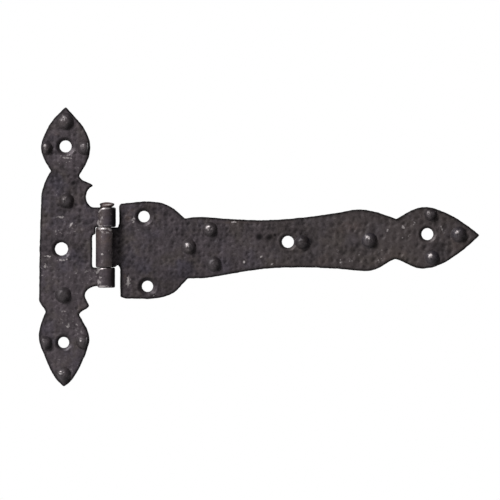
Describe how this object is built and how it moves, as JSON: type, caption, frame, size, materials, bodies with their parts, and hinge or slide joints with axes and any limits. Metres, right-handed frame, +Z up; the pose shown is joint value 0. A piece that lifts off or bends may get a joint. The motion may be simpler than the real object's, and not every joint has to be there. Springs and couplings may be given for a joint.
{
  "type": "tee strap hinge",
  "caption": "Surface-mounted tee strap hinge of hammered iron sheet with spear-shaped ends, domed rivets, countersunk screw holes and rolled knuckles on a plain pin.",
  "frame": {"origin": "centre of the jamb plate's middle screw hole, on the plane of the mounting face", "axes": "+X along the strap away from the jamb plate, +Y into the wall, +Z up along the pin; the fronts face -Y"},
  "size_m": [0.2203, 0.01, 0.1398],
  "materials": {
    "hammered_iron": "hammered, oil-blackened, satin, worn brighter on the ridges",
    "rivet_iron": "blackened forged domes with small pits, satin",
    "pin_steel": "browned steel, hammered over head"
  },
  "bodies": {
    "jamb": {"jamb_plate": "hammered_iron", "hinge_pin": "pin_steel", "rivet_jamb_tip_top": "rivet_iron", "rivet_jamb_upper_left": "rivet_iron", "rivet_jamb_upper_right": "rivet_iron", "rivet_jamb_upper_waist": "rivet_iron", "rivet_jamb_lower_waist": "rivet_iron", "rivet_jamb_lower_left": "rivet_iron", "rivet_jamb_lower_right": "rivet_iron", "rivet_jamb_tip_bottom": "rivet_iron"},
    "strap": {"strap_leaf": "hammered_iron", "rivet_strap_root_middle": "rivet_iron", "rivet_strap_root_upper": "rivet_iron", "rivet_strap_root_lower": "rivet_iron", "rivet_strap_middle": "rivet_iron", "rivet_strap_fore": "rivet_iron", "rivet_strap_head_upper": "rivet_iron", "rivet_strap_head_lower": "rivet_iron", "rivet_strap_tip": "rivet_iron"}
  },
  "joints": [
    {"name": "strap_swing", "type": "hinge", "parent": "jamb", "child": "strap", "pos_m": [0.0222, -0.005, 0], "axis": [0, 0, -1], "range_deg": [-90, 180]}
  ]
}
